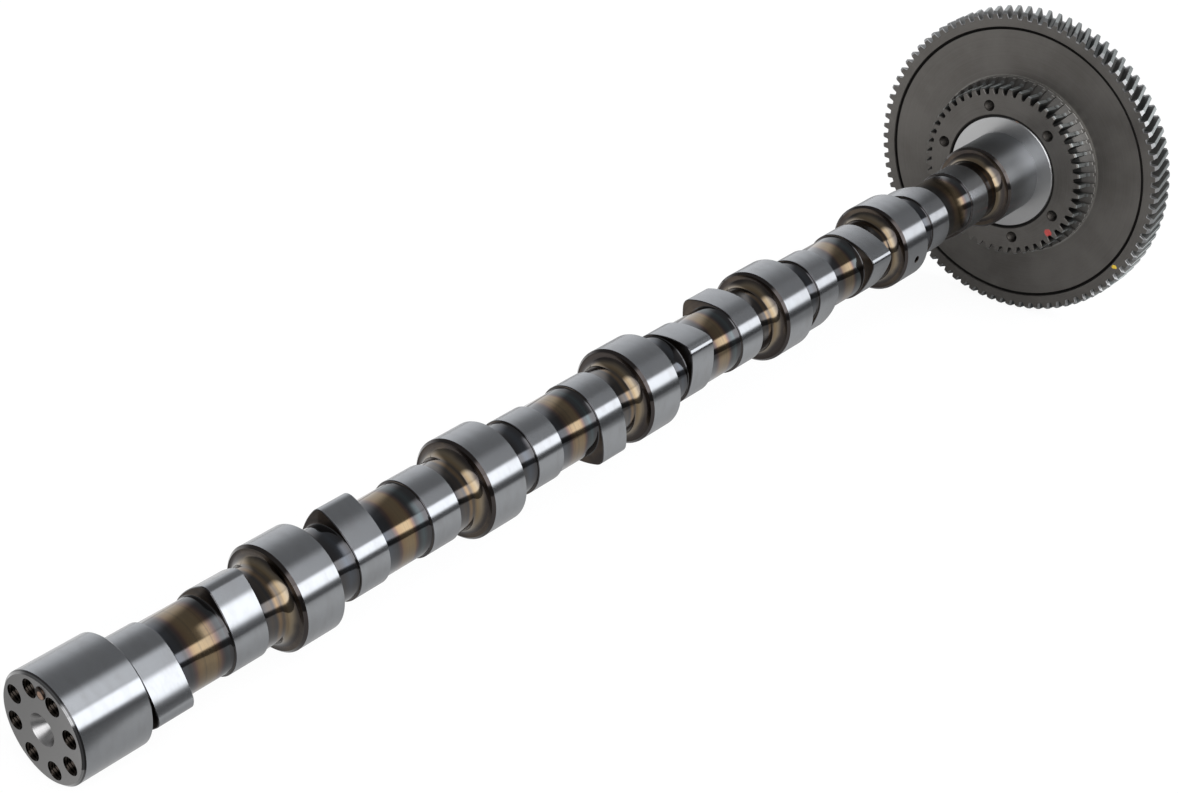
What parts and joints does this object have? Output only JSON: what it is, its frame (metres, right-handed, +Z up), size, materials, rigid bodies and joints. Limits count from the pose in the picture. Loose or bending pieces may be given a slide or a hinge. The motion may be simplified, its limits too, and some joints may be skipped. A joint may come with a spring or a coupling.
{
  "type": "camshaft with timing gear",
  "caption": "Diesel engine camshaft with ground bearing journals, paired valve lobes and a shrunk-on double helical timing gear at one end.",
  "frame": {"origin": "centre of the free end face, on the shaft's axis", "axes": "+X along the shaft from the free end to the gear, +Z up, +Y across the shaft"},
  "size_m": [1.0506, 0.2694, 0.2694],
  "materials": {
    "shaft_steel": "ground lands, turned necks with heat tint from induction hardening",
    "gear_steel": "dark oxide from heat treatment, bright edges on the teeth",
    "pin_steel": "hardened, slightly straw coloured"
  },
  "bodies": {
    "root": {"camshaft": "shaft_steel", "cam_gear": "gear_steel", "end_dowel": "pin_steel", "lock_pin": "pin_steel"}
  },
  "joints": []
}
